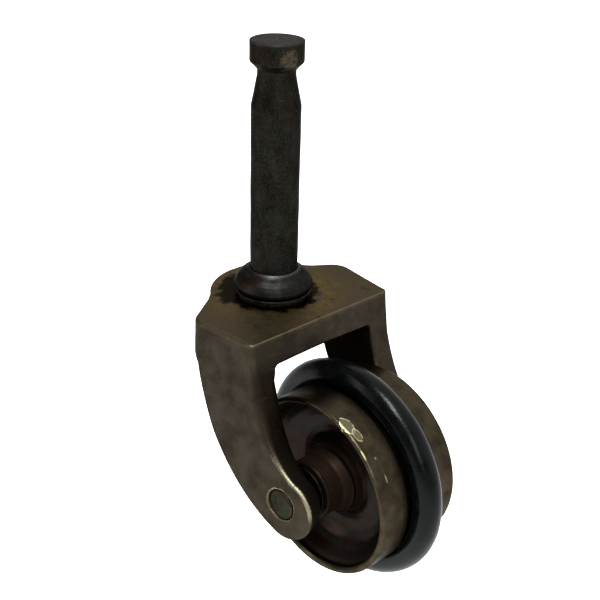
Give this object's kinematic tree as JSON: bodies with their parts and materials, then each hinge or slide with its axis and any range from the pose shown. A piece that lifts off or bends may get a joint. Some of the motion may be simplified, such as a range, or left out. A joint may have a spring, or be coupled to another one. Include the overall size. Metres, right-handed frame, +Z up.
{
  "type": "swivel stem caster",
  "caption": "Swivel furniture caster: plain steel stem with a grip neck, bronze fork and a dished bronze wheel carrying a rubber ring tyre.",
  "frame": {"origin": "centre of the stem's flat top face", "axes": "+Z up the stem, +X from the stem to the wheel, Y along the axle with +Y on the left"},
  "size_m": [0.0707, 0.0486, 0.1231],
  "materials": {
    "stem_steel": "dark aged steel with a little brown rust",
    "collar_steel": "dark worn steel, satin",
    "greased_steel": "steel under old black grease",
    "fork_bronze": "brown bronze patina, golden where rubbed",
    "pin_steel": "dark steel",
    "wheel_bronze": "turned bronze with a brown patina",
    "tyre_rubber": "smooth black rubber, a little shiny"
  },
  "bodies": {
    "stem": {"stem": "stem_steel", "stem_collar": "collar_steel", "thrust_washer": "greased_steel", "rivet_washer": "collar_steel"},
    "fork": {"fork": "fork_bronze", "axle_pin": "pin_steel"},
    "wheel": {"wheel": "wheel_bronze", "tyre": "tyre_rubber", "left_hub_washer": "pin_steel", "right_hub_washer": "pin_steel"}
  },
  "joints": [
    {"name": "fork_swivel", "type": "hinge", "parent": "stem", "child": "fork", "pos_m": [0, 0, -0.0602], "axis": [0, 0, 1], "continuous": true},
    {"name": "wheel_spin", "type": "hinge", "parent": "fork", "child": "wheel", "pos_m": [0.0285, 0, -0.096], "axis": [0, 1, 0], "continuous": true}
  ]
}
